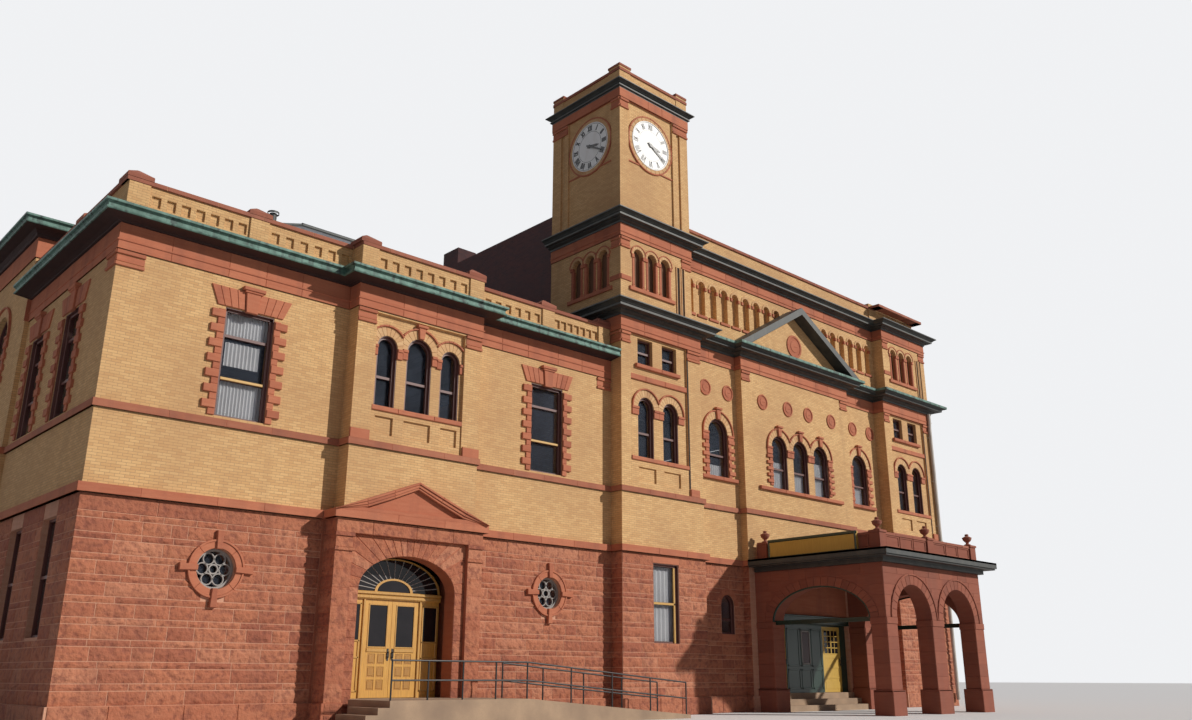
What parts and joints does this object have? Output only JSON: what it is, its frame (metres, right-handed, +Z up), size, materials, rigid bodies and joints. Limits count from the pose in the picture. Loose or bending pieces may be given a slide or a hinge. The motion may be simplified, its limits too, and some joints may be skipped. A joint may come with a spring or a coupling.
{
  "type": "theater",
  "caption": "Brick and sandstone theatre with a pedimented hall wing, a clock tower, an arched portico and doors and clock hands that turn.",
  "frame": {"origin": "left front corner of the hall wing's wall, at ground level", "axes": "+X runs along the front to the right, +Y runs into the building, +Z is up"},
  "size_m": [36.67, 28.5, 22.26],
  "materials": {
    "sandstone": "rock-faced, matte",
    "brick": "matte",
    "concrete": "matte",
    "slate": "matte",
    "copper_green": "weathered",
    "dark_metal": "satin",
    "oak": "varnished",
    "painted_wood": "painted",
    "window_paint": "painted",
    "glass": "clear",
    "dial_white": "satin",
    "hand_black": "painted"
  },
  "bodies": {
    "building": {"bay_arch": "sandstone", "bay_brick": "brick", "bay_jambs": "sandstone", "bay_pediment": "sandstone", "belt_course": "sandstone", "clock_dials": "dial_white", "corner_pavilion_walls": "brick", "eaves_friezes": "brick", "entrance_fanlight": "oak", "entrance_frame": "oak", "entrance_landing": "concrete", "far_clock_hands": "hand_black", "gable_rake": "dark_metal", "gable_wall": "brick", "ground_floor": "concrete", "hall_brick_front": "brick", "hall_brick_sides": "brick", "hall_gutter": "copper_green", "hall_parapet": "sandstone", "hall_roof": "slate", "hall_stone_front": "sandstone", "hall_stone_sides": "sandstone", "landing_railing": "dark_metal", "ledge_course": "sandstone", "portico_arches": "sandstone", "portico_cornice": "copper_green", "portico_parapet": "sandstone", "portico_piers": "sandstone", "portico_screen": "painted_wood", "portico_steps": "concrete", "portico_urns": "sandstone", "sign_board": "painted_wood", "theatre_centre_wall": "brick", "theatre_recess_walls": "brick", "theatre_brick_sides": "brick", "theatre_cornice": "copper_green", "theatre_lintel": "sandstone", "theatre_pavilions": "brick", "theatre_roof": "concrete", "theatre_stone_front": "sandstone", "theatre_stone_sides": "sandstone", "tower_walls": "brick", "upper_cornices": "dark_metal", "upper_floor": "concrete", "upper_friezes": "brick", "upper_front_wall": "brick", "upper_parapets": "brick", "upper_pavilion": "brick", "upper_side_walls": "brick", "window_glass": "glass", "window_sashes": "window_paint", "window_stone": "sandstone"},
    "entrance_leaf_left": {"entrance_leaf_left": "oak"},
    "entrance_leaf_right": {"entrance_leaf_right": "oak"},
    "portico_leaf_left": {"portico_leaf_left": "painted_wood"},
    "portico_leaf_right": {"portico_leaf_right": "painted_wood"},
    "front_hour_hand": {"front_hour_hand": "hand_black"},
    "front_minute_hand": {"front_minute_hand": "hand_black"},
    "left_hour_hand": {"left_hour_hand": "hand_black"},
    "left_minute_hand": {"left_minute_hand": "hand_black"}
  },
  "joints": [
    {"name": "entrance_leaf_left_hinge", "type": "hinge", "parent": "building", "child": "entrance_leaf_left", "pos_m": [7.15, 0.2, 1.8], "axis": [0, 0, -1], "range_deg": [0, 90]},
    {"name": "entrance_leaf_right_hinge", "type": "hinge", "parent": "building", "child": "entrance_leaf_right", "pos_m": [8.75, 0.2, 1.8], "axis": [0, 0, 1], "range_deg": [0, 90]},
    {"name": "portico_leaf_left_hinge", "type": "hinge", "parent": "building", "child": "portico_leaf_left", "pos_m": [23.35, -0.13, 1.8], "axis": [0, 0, -1], "range_deg": [0, 90]},
    {"name": "portico_leaf_right_hinge", "type": "hinge", "parent": "building", "child": "portico_leaf_right", "pos_m": [27.55, -0.13, 1.8], "axis": [0, 0, 1], "range_deg": [0, 90]},
    {"name": "front_minute_hand_arbor", "type": "hinge", "parent": "building", "child": "front_minute_hand", "pos_m": [17.18, -0.5, 19.51], "axis": [0, 1, 0], "continuous": true},
    {"name": "front_hour_hand_arbor", "type": "hinge", "parent": "building", "child": "front_hour_hand", "pos_m": [17.18, -0.5, 19.51], "axis": [0, 1, 0], "continuous": true},
    {"name": "left_minute_hand_arbor", "type": "hinge", "parent": "building", "child": "left_minute_hand", "pos_m": [15.6, 1.08, 19.51], "axis": [1, 0, 0], "continuous": true},
    {"name": "left_hour_hand_arbor", "type": "hinge", "parent": "building", "child": "left_hour_hand", "pos_m": [15.6, 1.08, 19.51], "axis": [1, 0, 0], "continuous": true}
  ],
  "couplings": [
    {"joint": "front_hour_hand_arbor", "follows": "front_minute_hand_arbor", "ratio": 0.083333},
    {"joint": "left_hour_hand_arbor", "follows": "left_minute_hand_arbor", "ratio": 0.083333}
  ]
}
